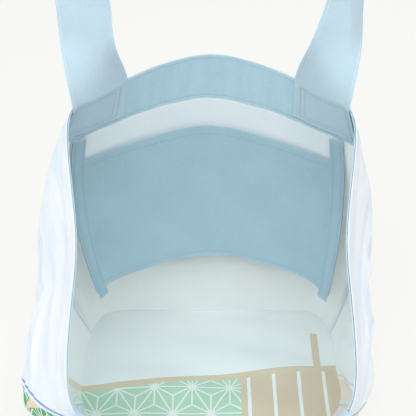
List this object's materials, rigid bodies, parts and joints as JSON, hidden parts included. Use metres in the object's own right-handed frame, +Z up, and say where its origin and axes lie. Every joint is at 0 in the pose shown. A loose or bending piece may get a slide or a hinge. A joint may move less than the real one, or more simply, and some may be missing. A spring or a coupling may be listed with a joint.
{
  "type": "tote bag",
  "caption": "Cloth tote bag standing open, with a tall back, a slumped front, wide strap handles, an inner rim facing and a hanging inner pocket.",
  "frame": {"origin": "centre of the base panel, on the surface that the bag stands on", "axes": "+Z up, +X to the right seen from the open front, +Y towards the tall back panel with the pocket"},
  "size_m": [0.4209, 0.4733, 0.6366],
  "materials": {
    "printed_cloth": "matt cotton, printed on its outer face",
    "blue_cloth": "matt plain-weave cotton",
    "strap_cloth": "matt plain-weave cotton, folded double",
    "pale_cloth": "matt cotton, wrong side"
  },
  "bodies": {
    "bag": {"back_panel": "printed_cloth", "front_panel": "printed_cloth", "left_gusset": "printed_cloth", "right_gusset": "printed_cloth", "base_panel": "printed_cloth", "back_facing": "blue_cloth", "front_facing": "blue_cloth", "left_side_hem": "blue_cloth", "right_side_hem": "blue_cloth", "pocket_front": "blue_cloth", "pocket_left_binding": "blue_cloth", "pocket_right_binding": "blue_cloth", "back_left_strap_end": "strap_cloth", "back_right_strap_end": "strap_cloth", "front_left_strap_end": "strap_cloth", "front_right_strap_end": "strap_cloth", "pocket_backing": "pale_cloth", "left_back_seam": "pale_cloth", "right_back_seam": "pale_cloth", "left_front_seam": "pale_cloth", "right_front_seam": "pale_cloth"},
    "back_handle": {"back_handle": "strap_cloth"},
    "front_handle": {"front_handle": "strap_cloth"}
  },
  "joints": [
    {"name": "back_handle_swing", "type": "hinge", "parent": "bag", "child": "back_handle", "pos_m": [0, 0.07318, 0.41549], "axis": [1, 0, 0], "range_deg": [-90, 90]},
    {"name": "front_handle_lift", "type": "hinge", "parent": "bag", "child": "front_handle", "pos_m": [0, -0.29041, 0.228], "axis": [-1, 0, 0], "range_deg": [0, 180]}
  ]
}
